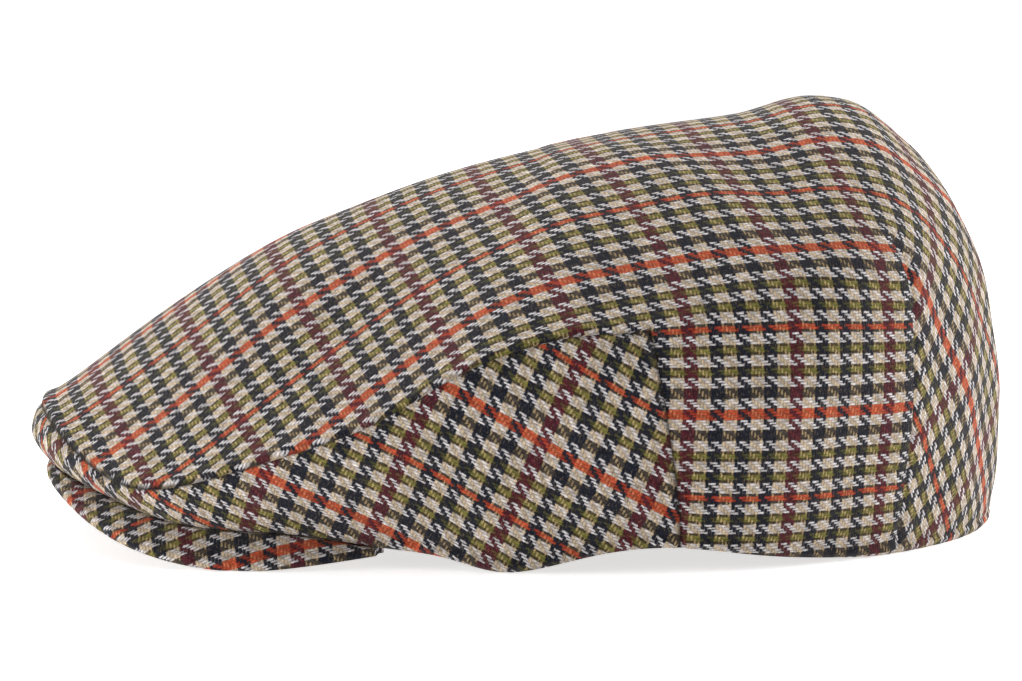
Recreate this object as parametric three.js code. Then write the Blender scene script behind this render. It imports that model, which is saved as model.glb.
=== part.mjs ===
// A flat cap of woven wool, in millimetres: +Z up, the peak towards -Y, the wearer's left towards +X.
// It rests on z = 0 by the back of its hem, its two temples and the low sides of its arched peak.
//
// Four sewn pieces: the crown (the top, running down into the back and the rear sides), a side panel
// on each side (a wedge at the temple that narrows to a strip over the peak), and the covered peak.
import * as THREE from 'three';
import { mergeVertices } from 'three/addons/utils/BufferGeometryUtils.js';

// Thicknesses, gaps and fullness.
const CLOTH = 2.2; // a cloth wall, with its interfacing
const SEAM_GAP = 0.35; // between neighbouring pieces
const FULLNESS = { front: 1.85, back: 2.35 }; // how the top falls away from its ridge: 2 is a parabola
const TOP_CENTRE = [0, 10]; // the middle of the top, from which its rays run to the edge

// Sections of the left half, from the centre front to the centre back.
// rim: the lower edge of the wall, which is the hem behind the peak and the strip's foot above it.
// edge: where wall and top meet, a seam as far as the temple and the turn of the shoulder behind it.
// foot, head: the wall's lean from level in degrees at its two ends, and how far it holds that lean.
// From the temple back the head's lean follows the top, so that the shoulder is one smooth turn.
const SECTIONS = [
  { rim: [0, -126.8, 19.0], edge: [0, -129.3, 34.3], foot: [42, 8], head: [118, 7.5] }, // centre front
  { rim: [26, -121.5, 17.6], edge: [27, -124.3, 30.2], foot: [46, 6.5], head: [114, 6] },
  { rim: [46, -109.5, 14.4], edge: [49, -112.5, 22.4], foot: [52, 4.5], head: [104, 3.5] },
  { rim: [60.5, -95.3, 11.0], edge: [65, -98.5, 20.3], foot: [56, 4.5], head: [92, 3.5] },
  { rim: [67.5, -79.0, 9.4], edge: [74.5, -80.0, 25.5], foot: [60, 6], head: [84, 5.5] },
  { rim: [70.5, -60.5, 8.3], edge: [80.5, -61.5, 31.8], foot: [62, 8], head: [82, 8] },
  { rim: [72.5, -41.5, 5.4], edge: [84.0, -43.0, 39.0], foot: [64, 11], head: [86, 11] }, // peak's end
  { rim: [77.0, -24.5, 3.2], edge: [85.5, -25.0, 49.5], foot: [70, 13], head: [90, 14] },
  { rim: [81.3, -8.3, 0.0], edge: [86.2, -8.0, 57.2], foot: [72, 14], head: [94, 16] }, // temple fold
  { rim: [83.2, 13.0, 4.4], edge: [86.2, 9.5, 61.0], foot: [79, 14], head: [100, 13] },
  { rim: [83.3, 34.5, 6.0], edge: [85.6, 26.3, 62.4], foot: [79, 15], head: [105, 9] }, // temple seam
  { rim: [80.3, 56.0, 3.3], edge: [84.0, 49.5, 69.5], foot: [78, 20], head: [110, 9] },
  { rim: [74.0, 76.5, 1.0], edge: [77.5, 71.5, 78.0], foot: [77, 24], head: [110, 12] },
  { rim: [64.0, 93.5, 0.0], edge: [64.5, 90.0, 84.5], foot: [79, 28], head: [110, 18] }, // rear dart
  { rim: [47.0, 112.5, 0.0], edge: [45.0, 102.5, 91.5], foot: [79, 30], head: [110, 24] },
  { rim: [25.0, 126.0, 0.0], edge: [22.5, 109.8, 97.0], foot: [79, 30], head: [110, 27] },
  { rim: [0, 131.0, 0.0], edge: [0, 112.0, 98.5], foot: [79, 30], head: [110, 27] }, // centre back
];
const LAST = SECTIONS.length - 1;
const FLAT_BELOW = 0.05; // a rim lower than this lies flat on the floor
const PEAK_END = 6; // the section where the peak's corner meets the hem
const CREASE_END = 7; // as far back as here the edge is a plain crease
const TEMPLE_SEAM = 10; // the upright seam between a side panel and the crown
const MIRRORED = [0, 3]; // the x of rim and edge, which change sign across the middle

// The ridge: the top's own height along the middle, as [y, z].
const RIDGE = [
  [-140, 28.0], [-129.3, 34.3], [-118, 41.8], [-107, 50.0], [-90, 62.0], [-67, 76.2], [-48, 84.6],
  [-26, 92.8], [-4, 99.2], [15, 103.5], [35, 107.3], [57, 110.2], [68, 112.6], [79, 115.6], [89, 115.2],
  [97, 112.0], [107, 103.8], [112, 98.5], [122, 86.0],
];
const RIDGE_SAMPLES = 600; // places at which its height is looked up

// Soft folds of the cloth. at: section and height on the wall (0 at the rim, 1 at the edge, up to 2 at the
// middle of the top); size: their half-widths in the same two measures; rise: how far they stand out.
const FOLDS = [
  { at: [10.8, 0.22], size: [0.7, 0.3], rise: 1.8 }, // swell behind the temple seam
  { at: [12.0, 0.35], size: [0.6, 0.4], rise: -1.6 }, // hollow before the dart
  { at: [11.6, 0.85], size: [1.2, 0.25], rise: -1.2 }, // hollow under the shoulder
  { at: [9.2, 0.3], size: [0.6, 0.35], rise: 1.0 }, // swell over the temple fold
  { at: [8.1, 0.5], size: [0.5, 0.5], rise: -1.0 }, // hollow in the wedge
  { at: [4.2, 1.25], size: [0.8, 0.2], rise: -1.4 }, // dents in the front of the top
  { at: [2.2, 1.35], size: [0.7, 0.2], rise: 1.0 },
  { at: [14.6, 0.45], size: [0.9, 0.4], rise: 1.2 }, // fullness of the back
];

// Peak: from the section at the centre front to its corner. lip: the lower outer edge. brow: the inner
// edge of its upper face, against the forehead. board: thickness.
const PEAK = [
  { lip: [0, -127.2, 14.4], brow: [0, -74.0, 26.0], board: 3.6 },
  { lip: [27, -123.8, 12.9], brow: [18, -72.0, 25.0], board: 3.6 },
  { lip: [49.5, -113.6, 7.4], brow: [35, -67.0, 21.8], board: 3.6 },
  { lip: [65, -99.2, 2.6], brow: [49, -60.0, 16.6], board: 3.6 },
  { lip: [72, -82.0, 0.0], brow: [59.5, -51.5, 11.6], board: 3.6 },
  { lip: [74.5, -62.0, 0.9], brow: [65.5, -44.5, 7.6], board: 3.2 },
  { lip: [74, -42.0, 3.4], brow: [67.5, -39.5, 4.8], board: 1.6 },
];
const PEAK_CLEARANCE = 0.35; // between the peak and the strip that rests on it
const LIP_ROUND = 0.7; // how far the lip's edge rounds out
const SHOULDER_AT = 0.5; // where between strip and lip the upper face swells, by a share of the board
const SHOULDER_RISE = 0.12;

// Facets.
const STEPS = 4; // facets between two sections
const RINGS = (2 * LAST * STEPS) / 8; // rings of the top, the outermost of which has 8 * RINGS points
const ROUND = 8 * RINGS; // points round the cap
const LEVELS = 7; // facets up the wall
const BOARD_STEPS = 5; // facets from the strip to the brow
const SPLINE_PASSES = 40; // until a spline's own rows have settled
const DIRECTION_STEP = 0.05; // sections on each side, to find the way along the edge
const DIRECTION_SHARE = 0.98; // of the way to the edge, to find the way down the top

const mirror = (row, mirrored) => row.map((value, column) => (mirrored.includes(column) ? -value : value));

// A smooth curve through the rows of a table: a uniform cubic B-spline whose own rows are worked out so
// that it passes through the given ones. Both ends carry on as a mirror image. Where an end lies on the
// cap's middle, the mirrored columns change sign there.
function splineThrough(rows, mirroredAtStart, mirroredAtEnd) {
  const last = rows.length - 1;
  const own = rows.map((row) => [...row]);
  const at = (i) => {
    if (i < 0) return mirror(own[-i], mirroredAtStart);
    return i > last ? mirror(own[2 * last - i], mirroredAtEnd) : own[i];
  };
  for (let pass = 0; pass < SPLINE_PASSES; pass++) {
    for (let i = 0; i <= last; i++) {
      const [before, after] = [at(i - 1), at(i + 1)];
      own[i] = rows[i].map((value, column) => (6 * value - before[column] - after[column]) / 4);
    }
  }
  return (u) => {
    const i = Math.min(Math.floor(u), last - 1);
    const w = u - i;
    const sixths = [
      (1 - w) ** 3,
      3 * w ** 3 - 6 * w ** 2 + 4,
      -3 * w ** 3 + 3 * w ** 2 + 3 * w + 1,
      w ** 3,
    ];
    const near = [at(i - 1), at(i), at(i + 1), at(i + 2)];
    return rows[0].map((_, column) => near.reduce((sum, row, n) => sum + (sixths[n] * row[column]) / 6, 0));
  };
}

const smoothstep = (a, b, x) => {
  const w = Math.min(Math.max((x - a) / (b - a), 0), 1);
  return w * w * (3 - 2 * w);
};
const vector = (array) => new THREE.Vector3(...array);
const UP = vector([0, 0, 1]);

const sectionRows = SECTIONS.map(({ rim, edge, foot, head }) => [...rim, ...edge, ...foot, ...head]);
const sectionSpline = splineThrough(sectionRows, MIRRORED, MIRRORED);

// The section at k, from -LAST at the back round the right side, 0 at the front and LAST at the back again.
function sectionAt(k) {
  const row = sectionSpline(Math.abs(k));
  if (row[2] < FLAT_BELOW) row[2] = 0;
  const [footLean, footReach, headLean, headReach] = row.slice(6);
  const sided = k < 0 ? mirror(row, MIRRORED) : row;
  return {
    rim: vector(sided.slice(0, 3)),
    edge: vector(sided.slice(3, 6)),
    footLean,
    footReach,
    headLean,
    headReach,
  };
}

const ridgeCurve = new THREE.SplineCurve(RIDGE.map(([y, z]) => new THREE.Vector2(y, z)));
const ridgePoints = ridgeCurve.getPoints(RIDGE_SAMPLES);

// The ridge's height at y.
function ridge(y) {
  const next = Math.max(ridgePoints.findIndex((p) => p.x > y), 1);
  const [a, b] = [ridgePoints[next - 1], ridgePoints[next]];
  return a.y + ((b.y - a.y) * (y - a.x)) / (b.x - a.x);
}

// How far the folds stand out at section k and height h.
function foldRise(k, h) {
  return FOLDS.reduce((sum, { at, size, rise }) => {
    const distance = ((Math.abs(k) - at[0]) / size[0]) ** 2 + ((h - at[1]) / size[1]) ** 2;
    return sum + rise * Math.exp(-distance);
  }, 0);
}

// How much of a crease the edge is at k: 1 over the peak, 0 from the temple seam back.
const crease = (k) => 1 - smoothstep(CREASE_END, TEMPLE_SEAM, Math.abs(k));

// A point of the top on the ray to the edge at k, a share s of the way out: the ridge's height there,
// less the edge's own drop times s to the power of the fullness.
function topPoint(k, s) {
  const { edge } = sectionAt(k);
  const x = TOP_CENTRE[0] + (edge.x - TOP_CENTRE[0]) * s;
  const y = TOP_CENTRE[1] + (edge.y - TOP_CENTRE[1]) * s;
  const fullness = THREE.MathUtils.lerp(FULLNESS.back, FULLNESS.front, crease(k));
  return new THREE.Vector3(x, y, ridge(y) - (ridge(edge.y) - edge.z) * s ** fullness);
}

// The level direction out of the cap at k.
function outward(k) {
  const [before, after] = [-DIRECTION_STEP, DIRECTION_STEP].map((step) => {
    const turns = Math.floor((k + step + LAST) / (2 * LAST));
    return sectionAt(k + step - 2 * LAST * turns).edge;
  });
  const along = after.sub(before);
  return new THREE.Vector3(along.y, -along.x, 0).normalize();
}

const leaning = (out, degrees) => {
  const angle = THREE.MathUtils.degToRad(degrees);
  return out.clone().multiplyScalar(Math.cos(angle)).addScaledVector(UP, Math.sin(angle));
};

// A point of the wall at k, from t = 0 at the rim to t = 1 at the edge, on a cubic Bezier curve.
function wallPoint(k, t) {
  const section = sectionAt(k);
  const out = outward(k);
  const downTheTop = topPoint(k, 1).sub(topPoint(k, DIRECTION_SHARE)).normalize();
  const head = leaning(out, section.headLean).multiplyScalar(-crease(k))
    .addScaledVector(downTheTop, 1 - crease(k)).normalize();
  const handleA = section.rim.clone().addScaledVector(leaning(out, section.footLean), section.footReach);
  const handleB = section.edge.clone().addScaledVector(head, section.headReach);
  return new THREE.CubicBezierCurve3(section.rim, handleA, handleB, section.edge).getPoint(t);
}

// The whole outer skin: rings of the top laid out as a square grid whose square rings become the top's
// rings, then rows of points down the wall. Every point has an inner twin, one cloth further in.
function makeSkin() {
  const points = [];
  const sections = [];
  const heights = [];
  const add = (point, k, height) => {
    sections.push(k);
    heights.push(height);
    return points.push(point) - 1;
  };
  const kAt = (i, count) => -LAST + (2 * LAST * i) / count;

  const rings = [[add(topPoint(0, 0), 0, 2)]];
  for (let ring = 1; ring <= RINGS; ring++) {
    const share = ring / RINGS;
    rings.push(Array.from({ length: 8 * ring }, (_, i) => {
      const k = kAt(i, 8 * ring);
      return add(topPoint(k, share), k, 2 - share);
    }));
  }
  const rows = [rings[RINGS]];
  for (let level = 1; level <= LEVELS; level++) {
    const t = 1 - level / LEVELS;
    rows.push(Array.from({ length: ROUND }, (_, i) => {
      const k = kAt(i, ROUND);
      return add(wallPoint(k, t), k, t);
    }));
  }

  const ringPoint = (a, b) => {
    const ring = Math.max(Math.abs(a), Math.abs(b));
    if (ring === 0) return rings[0][0];
    if (b === ring) return rings[ring][(8 * ring - a) % (8 * ring)];
    if (a === -ring) return rings[ring][2 * ring - b];
    if (b === -ring) return rings[ring][4 * ring + a];
    return rings[ring][6 * ring + b];
  };
  const topFaces = [];
  for (let a = -RINGS; a < RINGS; a++) {
    for (let b = -RINGS; b < RINGS; b++) {
      const [c, d] = [a + 1, b + 1];
      const corners = [ringPoint(a, b), ringPoint(c, b), ringPoint(c, d), ringPoint(a, d)];
      const alongDiagonal = (a + 0.5) * (b + 0.5) > 0;
      topFaces.push(alongDiagonal ? [...corners.slice(1), corners[0]] : corners);
    }
  }
  const wallFaces = [];
  for (let level = 0; level < LEVELS; level++) {
    for (let i = 0; i < ROUND; i++) {
      const j = (i + 1) % ROUND;
      wallFaces.push([rows[level][i], rows[level + 1][i], rows[level + 1][j], rows[level][j]]);
    }
  }

  const normals = pointNormals(points, [...topFaces, ...wallFaces]);
  rows[LEVELS].forEach((i) => normals[i].setZ(0).normalize()); // the hem's underside is level
  rows.slice(1, LEVELS).forEach((row, n) => row.forEach((i, column) => {
    // Under a crease the wall's thickness turns evenly from the seam's mitre to the level rim.
    const turned = normals[rows[0][column]].clone().lerp(normals[rows[LEVELS][column]], (n + 1) / LEVELS);
    normals[i].lerp(turned.normalize(), crease(sections[i])).normalize();
  }));
  points.forEach((point, i) => point.addScaledVector(normals[i], foldRise(sections[i], heights[i])));
  const inner = points.map((point, i) => point.clone().addScaledVector(normals[i], -CLOTH));
  return { points, inner, sections, rings, rows, topFaces, wallFaces };
}

// Each point's outward normal, from the faces round it.
function pointNormals(points, faces) {
  const normals = points.map(() => new THREE.Vector3());
  for (const [a, b, c, d] of faces) {
    const across = points[c].clone().sub(points[a]);
    const other = points[d].clone().sub(points[b]);
    const normal = across.cross(other);
    [a, b, c, d].forEach((i) => normals[i].add(normal));
  }
  return normals.map((normal) => normal.normalize());
}

// A closed body from outer four-cornered faces and their inner twins, joined all along their border.
function closedWall(outer, inner, faces) {
  const corners = [];
  const quad = (a, b, c, d) => corners.push(a, b, c, a, c, d);
  const edges = new Set(faces.flatMap((face) => face.map((from, n) => `${from}>${face[(n + 1) % 4]}`)));
  for (const face of faces) {
    quad(...face.map((i) => outer[i]));
    quad(...face.map((i) => inner[i]).reverse());
    face.forEach((from, n) => {
      const to = face[(n + 1) % 4];
      if (!edges.has(`${to}>${from}`)) quad(outer[to], outer[from], inner[from], inner[to]);
    });
  }
  return mergeVertices(new THREE.BufferGeometry().setFromPoints(corners), 1e-4);
}

// The crown: the top and, behind the temple seams, the wall down to the hem.
function makeCrown(skin) {
  const behindTemple = ([a, , c]) => {
    const middle = Math.abs(skin.sections[a] + skin.sections[c]) / 2;
    return middle > TEMPLE_SEAM || (skin.sections[a] > 0 && skin.sections[c] < 0);
  };
  return closedWall(skin.points, skin.inner, [...skin.topFaces, ...skin.wallFaces.filter(behindTemple)]);
}

// A side panel: the wall from the centre front to the temple seam, side 1 on the left and -1 on the
// right, drawn back from its neighbours by the seam gap.
function makeSidePanel(skin, side) {
  const front = ROUND / 2;
  const columns = Array.from({ length: TEMPLE_SEAM * STEPS + 1 }, (_, n) => front + side * n);
  const outer = [...skin.points];
  const inner = [...skin.inner];
  const draw = (point, towards) => {
    const through = skin.inner[point].clone().sub(skin.points[point]).normalize();
    const step = skin.points[towards].clone().sub(skin.points[point]);
    step.addScaledVector(through, -step.dot(through)).setLength(SEAM_GAP);
    outer[point] = outer[point].clone().add(step);
    inner[point] = inner[point].clone().add(step);
  };
  columns.forEach((i) => draw(skin.rows[0][i], skin.rows[1][i]));
  for (const row of skin.rows) {
    draw(row[columns.at(-1)], row[columns.at(-2)]);
    const middle = row[columns[0]];
    [outer, inner].forEach((points) => {
      points[middle] = points[middle].clone().setX((side * SEAM_GAP) / 2);
    });
  }
  const used = new Set(skin.rows.flatMap((row) => columns.map((i) => row[i])));
  return closedWall(outer, inner, skin.wallFaces.filter((face) => face.every((i) => used.has(i))));
}

// The peak: at each section a closed outline from the brow out under the strip's foot, down to the lip,
// round its edge and back along the underside.
function makePeak(skin) {
  const peakRows = PEAK.map(({ lip, brow, board }) => [...lip, ...brow, board]);
  const peakSpline = splineThrough(peakRows, MIRRORED, []);
  const outline = (step) => {
    const half = peakSpline(Math.abs(step) / STEPS);
    const row = step < 0 ? mirror(half, MIRRORED) : half;
    const [lip, brow, board] = [vector(row.slice(0, 3)), vector(row.slice(3, 6)), row[6]];
    lip.setZ(Math.max(lip.z, 0));
    const foot = skin.rows[LEVELS][ROUND / 2 + step];
    const strip = [skin.inner[foot], skin.points[foot]];
    const underStrip = strip.map((p) => p.clone().setZ(p.z - PEAK_CLEARANCE));
    const shares = Array.from({ length: BOARD_STEPS }, (_, n) => n / BOARD_STEPS);
    const upper = shares.map((share) => brow.clone().lerp(underStrip[0], share));
    const lipTop = lip.clone().setZ(lip.z + board);
    const shoulder = underStrip[1].clone().lerp(lipTop, SHOULDER_AT);
    shoulder.z += SHOULDER_RISE * board;
    const rounding = lip.clone().sub(brow).setZ(0).setLength(LIP_ROUND).setZ(board / 2);
    const over = [...upper, ...underStrip, shoulder, lipTop];
    const under = [...upper, underStrip[0]].map((p) => p.clone().setZ(p.z - board)).reverse();
    return [...over, lip.clone().add(rounding), lip, ...under];
  };
  const count = PEAK_END * STEPS;
  const outlines = Array.from({ length: 2 * count + 1 }, (_, n) => outline(n - count));
  const corners = [];
  const size = outlines[0].length;
  for (let n = 0; n < 2 * count; n++) {
    for (let m = 0; m < size; m++) {
      const [a, b] = [outlines[n][m], outlines[n][(m + 1) % size]];
      const [d, c] = [outlines[n + 1][m], outlines[n + 1][(m + 1) % size]];
      corners.push(a, b, c, a, c, d);
    }
  }
  corners.push(...endCap(outlines[0]), ...endCap(outlines[2 * count]).reverse());
  return mergeVertices(new THREE.BufferGeometry().setFromPoints(corners), 1e-4);
}

// An end of the peak, closed by a fan from its middle.
function endCap(outline) {
  const middle = outline.reduce((sum, p) => sum.add(p), new THREE.Vector3()).divideScalar(outline.length);
  return outline.flatMap((p, n) => [middle, outline[(n + 1) % outline.length], p]);
}

const cloth = () => new THREE.MeshStandardMaterial({ color: 0x80796a, roughness: 0.95, metalness: 0 });

function piece(name, geometry) {
  geometry.computeVertexNormals();
  const mesh = new THREE.Mesh(geometry, cloth());
  mesh.name = name;
  return mesh;
}

const skin = makeSkin();
const cap = new THREE.Group();
cap.name = 'flat_cap';
cap.add(
  piece('crown', makeCrown(skin)),
  piece('side_panel_left', makeSidePanel(skin, 1)),
  piece('side_panel_right', makeSidePanel(skin, -1)),
  piece('peak', makePeak(skin)),
);

// The origin lies under the middle of the cap's own box.
const box = new THREE.Box3().setFromObject(cap);
cap.position.y = -(box.min.y + box.max.y) / 2;

export default cap;
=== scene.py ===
import math

import bpy
import numpy as np
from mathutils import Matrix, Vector


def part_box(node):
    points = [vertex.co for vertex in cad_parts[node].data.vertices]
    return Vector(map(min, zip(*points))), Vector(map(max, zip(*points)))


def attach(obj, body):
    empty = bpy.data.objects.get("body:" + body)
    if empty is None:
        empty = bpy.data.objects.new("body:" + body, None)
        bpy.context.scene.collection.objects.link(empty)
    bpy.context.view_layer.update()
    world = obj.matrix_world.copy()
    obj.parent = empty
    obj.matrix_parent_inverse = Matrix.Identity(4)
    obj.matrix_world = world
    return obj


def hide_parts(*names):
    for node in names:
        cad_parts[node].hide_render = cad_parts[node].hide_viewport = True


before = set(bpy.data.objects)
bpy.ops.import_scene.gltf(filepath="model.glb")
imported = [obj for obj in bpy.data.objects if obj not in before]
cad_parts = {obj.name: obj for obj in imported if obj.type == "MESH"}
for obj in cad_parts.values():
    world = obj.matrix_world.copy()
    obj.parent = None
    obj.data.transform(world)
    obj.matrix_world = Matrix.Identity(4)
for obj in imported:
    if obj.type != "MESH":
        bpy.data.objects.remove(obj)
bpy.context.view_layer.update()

# A flat cap of houndstooth wool. The crown, the two side panels and the peak are cloth surfaces worked
# out from a table of sections, laid over the frame's own pieces. Sizes here are in millimetres, and
# MM turns them into the scene's metres.
MM = 0.001

# ---------------------------------------------------------------------------------------------
# The cap's form: sections of the left half, from the centre front to the centre back
# ---------------------------------------------------------------------------------------------

# rim: lower edge of the wall. edge: where wall and top meet, a seam as far as the temple and the turn of
# the shoulder behind it. foot, head: the wall's lean in degrees and how far it holds it, at its two ends.
# Columns: rim x, y, z; edge x, y, z; foot lean and reach; head lean and reach.
SECTIONS = (
    (0.0, -126.8, 19.0, 0.0, -129.3, 34.3, 42, 8, 118, 7.5),  # centre front
    (26.0, -121.5, 17.6, 27.0, -124.3, 30.2, 46, 6.5, 114, 6),
    (46.0, -109.5, 14.4, 49.0, -112.5, 22.4, 52, 4.5, 104, 3.5),
    (60.5, -95.3, 11.0, 65.0, -98.5, 20.3, 56, 4.5, 92, 3.5),
    (67.5, -79.0, 9.4, 74.5, -80.0, 25.5, 60, 6, 84, 5.5),
    (70.5, -60.5, 8.3, 80.5, -61.5, 31.8, 62, 8, 82, 8),
    (72.5, -41.5, 5.4, 84.0, -43.0, 39.0, 64, 11, 86, 11),  # end of the peak
    (77.0, -24.5, 3.2, 85.5, -25.0, 49.5, 70, 13, 90, 14),
    (81.3, -8.3, 0.0, 86.2, -8.0, 57.2, 72, 14, 94, 16),  # temple fold
    (83.2, 13.0, 4.4, 86.2, 9.5, 61.0, 79, 14, 100, 13),
    (83.3, 34.5, 6.0, 85.6, 26.3, 62.4, 79, 15, 105, 9),  # temple seam
    (80.3, 56.0, 3.3, 84.0, 49.5, 69.5, 78, 20, 110, 9),
    (74.0, 76.5, 1.0, 77.5, 71.5, 78.0, 77, 24, 110, 12),
    (64.0, 93.5, 0.0, 64.5, 90.0, 84.5, 79, 28, 110, 18),  # rear dart
    (47.0, 112.5, 0.0, 45.0, 102.5, 91.5, 79, 30, 110, 24),
    (25.0, 126.0, 0.0, 22.5, 109.8, 97.0, 79, 30, 110, 27),
    (0.0, 131.0, 0.0, 0.0, 112.0, 98.5, 79, 30, 110, 27),  # centre back
)
RIM, EDGE, EDGE_XY = slice(0, 3), slice(3, 6), slice(3, 5)
RIM_Z, EDGE_Y, FOOT_LEAN, FOOT_REACH, HEAD_LEAN, HEAD_REACH = 2, 4, 6, 7, 8, 9
MIRRORED = (0, 3)  # the x of a row's two points, here and in the peak's table, mirrored at the middle
LAST = len(SECTIONS) - 1
PEAK_END, CREASE_END, TEMPLE_SEAM, DART = 6, 7, 10, 13  # sections
FULLNESS_FRONT, FULLNESS_BACK = 1.85, 2.35  # how the top falls from its ridge
TOP_CENTRE = np.array([0.0, 10.0])
CLOTH = 2.2  # thickness of a cloth wall
FLAT_BELOW = 0.05  # a rim lower than this lies flat on the floor

# The ridge's height along the middle. Columns: y, z.
RIDGE = (
    (-140, 28.0), (-129.3, 34.3), (-118, 41.8), (-107, 50.0), (-90, 62.0), (-67, 76.2), (-48, 84.6),
    (-26, 92.8), (-4, 99.2), (15, 103.5), (35, 107.3), (57, 110.2), (68, 112.6), (79, 115.6), (89, 115.2),
    (97, 112.0), (107, 103.8), (112, 98.5), (122, 86.0),
)
RIDGE_SAMPLES = 3000  # places at which its height is looked up

# Folds of the cloth. Columns: section, height on the wall (0 rim, 1 edge, 2 middle of the top), half-width
# in each of these, rise.
FOLDS = (
    (10.8, 0.22, 0.7, 0.3, 1.8),  # swell behind the temple seam
    (12.0, 0.35, 0.6, 0.4, -1.6),  # hollow before the dart
    (11.6, 0.85, 1.2, 0.25, -1.2),  # hollow under the shoulder
    (9.2, 0.30, 0.6, 0.35, 1.0),  # swell over the temple fold
    (8.1, 0.50, 0.5, 0.5, -1.0),  # hollow in the wedge
    (4.2, 1.25, 0.8, 0.2, -1.4),  # dents in the front of the top
    (2.2, 1.35, 0.7, 0.2, 1.0),
    (14.6, 0.45, 0.9, 0.4, 1.2),  # fullness of the back
)

# The peak: its lip is the lower outer edge and its brow the inner edge of the upper face.
# Columns: lip x, y, z; brow x, y, z; thickness of the board.
PEAK_SECTIONS = (
    (0.0, -127.2, 14.4, 0.0, -74.0, 26.0, 3.6),
    (27.0, -123.8, 12.9, 18.0, -72.0, 25.0, 3.6),
    (49.5, -113.6, 7.4, 35.0, -67.0, 21.8, 3.6),
    (65.0, -99.2, 2.6, 49.0, -60.0, 16.6, 3.6),
    (72.0, -82.0, 0.0, 59.5, -51.5, 11.6, 3.6),
    (74.5, -62.0, 0.9, 65.5, -44.5, 7.6, 3.2),
    (74.0, -42.0, 3.4, 67.5, -39.5, 4.8, 1.6),
)

# The crown's lowest y is its centre front edge, so the frame gives where these sections stand.
SHIFT_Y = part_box("crown")[0].y / MM - SECTIONS[0][EDGE_Y]

# Fineness of the cloth surfaces.
STEPS = 20  # columns between two sections
LEVELS = 56  # rows of the wall
COARSE_STEPS, COARSE_LEVELS = 5, 14  # for laying the cloth flat
TUCK = 0.4  # a side panel's edges reach this far into its neighbours
PEAK_CLEARANCE = 0.35  # between the peak and the strip on it
FULL_BOARD = 3.6  # where the board is thinner than this, its lip is rounded less
LIP_ROUND = 1.1  # how far inside the lip its rounding begins
PEAK_SWELL = 0.12  # rise of the middle of the peak's upper face, as a share of the board
HEM_WIDTH = 3.0  # the turned hem


def spline_rows(rows, odd_start=(), odd_end=()):
    """The own rows of a uniform cubic B-spline that passes through the given rows: each given row is a
    sixth of its neighbours plus four sixths of itself. An end repeats as its mirror image, and the odd
    columns change sign there. One extra row stands before the first and two after the last."""
    rows = np.asarray(rows, float)
    start, end = np.ones(rows.shape[1]), np.ones(rows.shape[1])
    start[list(odd_start)] = -1
    end[list(odd_end)] = -1
    own = rows.copy()
    for _ in range(60):
        before = np.vstack([own[1] * start, own[:-1]])
        after = np.vstack([own[1:], own[-2] * end])
        own = (own + (6 * rows - before - after) / 4) / 2
    return np.vstack([own[1] * start, own, own[-2] * end, own[-3] * end])


def spline_at(own, u):
    """Points of the spline at u, counted in rows: four neighbouring rows weighed by the cubic B-spline."""
    u = np.asarray(u, float)
    i = np.minimum(np.floor(u).astype(int), len(own) - 4)
    w = (u - i)[..., None]
    return ((1 - w) ** 3 * own[i] + (3 * w ** 3 - 6 * w ** 2 + 4) * own[i + 1]
            + (-3 * w ** 3 + 3 * w ** 2 + 3 * w + 1) * own[i + 2] + w ** 3 * own[i + 3]) / 6


def smoothstep(low, high, x):
    """0 below low, 1 above high and the cubic 3 w squared less 2 w cubed between them."""
    w = np.clip((x - low) / (high - low), 0, 1)
    return w * w * (3 - 2 * w)


def unit(v):
    """Vectors divided by their lengths."""
    return v / np.maximum(np.linalg.norm(v, axis=-1, keepdims=True), 1e-12)


SECTION_OWN = spline_rows(SECTIONS, MIRRORED, MIRRORED)
PEAK_OWN = spline_rows(PEAK_SECTIONS, MIRRORED, ())
RIDGE_LINE = spline_at(spline_rows(RIDGE), np.linspace(0, len(RIDGE) - 1, RIDGE_SAMPLES))


def ridge(y):
    """Height of the top along the cap's middle at y, by straight lines between samples of its spline."""
    return np.interp(y, RIDGE_LINE[:, 0], RIDGE_LINE[:, 1])


def sections_at(k):
    """Section values at k: -LAST at the back, then round the right side to 0 at the front, and round the
    left side to LAST at the back."""
    k = (np.asarray(k, float) + LAST) % (2 * LAST) - LAST
    row = spline_at(SECTION_OWN, np.abs(k))
    side = np.where(k < 0, -1.0, 1.0)
    for column in MIRRORED:
        row[..., column] *= side
    row[..., RIM_Z] = np.where(row[..., RIM_Z] < FLAT_BELOW, 0, row[..., RIM_Z])
    return row


def crease(k):
    """1 where the edge is a creased seam, 0 from the temple seam back."""
    return 1 - smoothstep(CREASE_END, TEMPLE_SEAM, np.abs(k))


def top_surface(k, s):
    """The top: a point a share s of the way from the top's centre to the edge at k. Its height is the
    ridge's at the same y, less the edge's own drop below the ridge times s to the power of the fullness."""
    row = sections_at(k)
    edge = row[..., EDGE]
    xy = TOP_CENTRE + (edge[..., :2] - TOP_CENTRE) * s[..., None]
    fullness = FULLNESS_BACK + (FULLNESS_FRONT - FULLNESS_BACK) * crease(k)
    drop = (ridge(edge[..., 1]) - edge[..., 2]) * s ** fullness
    return np.concatenate([xy, (ridge(xy[..., 1]) - drop)[..., None]], -1)


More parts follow.
